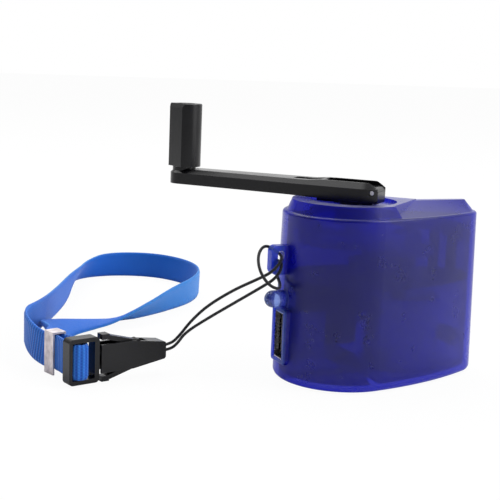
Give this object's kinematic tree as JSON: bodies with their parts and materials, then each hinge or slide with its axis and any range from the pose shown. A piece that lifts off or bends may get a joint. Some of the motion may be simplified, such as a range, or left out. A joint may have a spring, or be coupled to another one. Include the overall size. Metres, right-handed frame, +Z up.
{
  "type": "hand crank phone charger",
  "caption": "Hand cranked generator for charging a phone, with a folding crank on top, a port and lamp on one end, and a wrist strap on a thin cord.",
  "frame": {"origin": "foot of the crank's axis on the base plane", "axes": "+Z up along the crank's axis, +X to the nose, the port faces -X"},
  "size_m": [0.1219, 0.1658, 0.0738],
  "materials": {
    "shell_blue": "clear deep blue plastic, faintly frosted by wear",
    "black_plastic": "black moulded plastic, satin",
    "dark_plastic": "dark grey moulded plastic",
    "white_plastic": "white slippery gear plastic",
    "steel": "plain drawn steel",
    "plated_steel": "bright tinned sheet steel",
    "brass": "turned brass",
    "copper": "enamelled copper winding",
    "magnet": "grey ferrite",
    "wire_red": "insulated wire",
    "board_green": "green lacquered board",
    "lamp_clear": "clear cast resin",
    "crimp_metal": "soft bright metal strip",
    "webbing_blue": "ribbed woven nylon webbing",
    "cord_black": "thin black braided cord"
  },
  "bodies": {
    "housing": {"housing_front": "shell_blue", "housing_back": "shell_blue", "housing_screws": "steel", "crank_bush": "white_plastic", "gear_plate": "dark_plastic", "gear_bridge": "dark_plastic", "gear_axle_one": "steel", "gear_axle_two": "steel", "generator_can": "plated_steel", "generator_cap": "plated_steel", "generator_coil": "copper", "generator_wires": "wire_red", "circuit_board": "board_green", "storage_capacitor": "dark_plastic", "rectifier_diodes": "dark_plastic", "regulator_chip": "dark_plastic", "usb_shell": "plated_steel", "usb_tongue": "black_plastic", "usb_contacts": "brass", "indicator_lamp": "lamp_clear", "lamp_leads": "steel", "buckle_socket": "black_plastic", "lanyard_cord": "cord_black"},
    "crank": {"crank_shaft": "steel", "shaft_clip": "steel", "drive_gear": "white_plastic", "crank_hub": "black_plastic", "hinge_pin": "steel"},
    "arm": {"crank_arm": "black_plastic", "grip_axle": "steel"},
    "grip": {"crank_grip": "black_plastic"},
    "first_gear": {"gear_one": "white_plastic"},
    "second_gear": {"gear_two": "white_plastic"},
    "rotor": {"rotor_shaft": "steel", "rotor_magnet": "magnet", "rotor_pinion": "brass"},
    "strap_end": {"buckle_tongue": "black_plastic", "strap_ferrule": "crimp_metal", "wrist_strap": "webbing_blue", "strap_link": "webbing_blue"},
    "upper_wing": {"buckle_wing_upper": "black_plastic"},
    "lower_wing": {"buckle_wing_lower": "black_plastic"}
  },
  "joints": [
    {"name": "crank_spin", "type": "hinge", "parent": "housing", "child": "crank", "pos_m": [0, 0, 0.049], "axis": [0, 0, 1], "continuous": true},
    {"name": "crank_fold", "type": "hinge", "parent": "crank", "child": "arm", "pos_m": [0.00449, -0.0047, 0.05275], "axis": [0.723, 0.6909, 0], "range_deg": [0, 180]},
    {"name": "grip_spin", "type": "hinge", "parent": "arm", "child": "grip", "pos_m": [-0.03648, 0.03817, 0.062], "axis": [0, 0, 1], "continuous": true},
    {"name": "first_gear_spin", "type": "hinge", "parent": "housing", "child": "first_gear", "pos_m": [0.018, 0, 0.036], "axis": [0, 0, 1], "continuous": true},
    {"name": "second_gear_spin", "type": "hinge", "parent": "housing", "child": "second_gear", "pos_m": [0.0075, 0, 0.033], "axis": [0, 0, 1], "continuous": true},
    {"name": "rotor_spin", "type": "hinge", "parent": "housing", "child": "rotor", "pos_m": [0.01725, 0, 0.02], "axis": [0, 0, 1], "continuous": true},
    {"name": "buckle_release", "type": "slide", "parent": "housing", "child": "strap_end", "axis": [-0.9664, -0.2571, 0], "range_m": [0, 0.014]},
    {"name": "upper_wing_squeeze", "type": "hinge", "parent": "strap_end", "child": "upper_wing", "pos_m": [-0.05749, 0.01433, 0.0096], "axis": [0.2571, -0.9664, 0], "range_deg": [0, 7], "stiffness_Nm_per_rad": 0.004},
    {"name": "lower_wing_squeeze", "type": "hinge", "parent": "strap_end", "child": "lower_wing", "pos_m": [-0.05749, 0.01433, 0.0036], "axis": [-0.2571, 0.9664, 0], "range_deg": [0, 7], "stiffness_Nm_per_rad": 0.004}
  ],
  "couplings": [
    {"joint": "first_gear_spin", "follows": "crank_spin", "ratio": -4},
    {"joint": "second_gear_spin", "follows": "crank_spin", "ratio": 10},
    {"joint": "rotor_spin", "follows": "crank_spin", "ratio": -22.5}
  ]
}
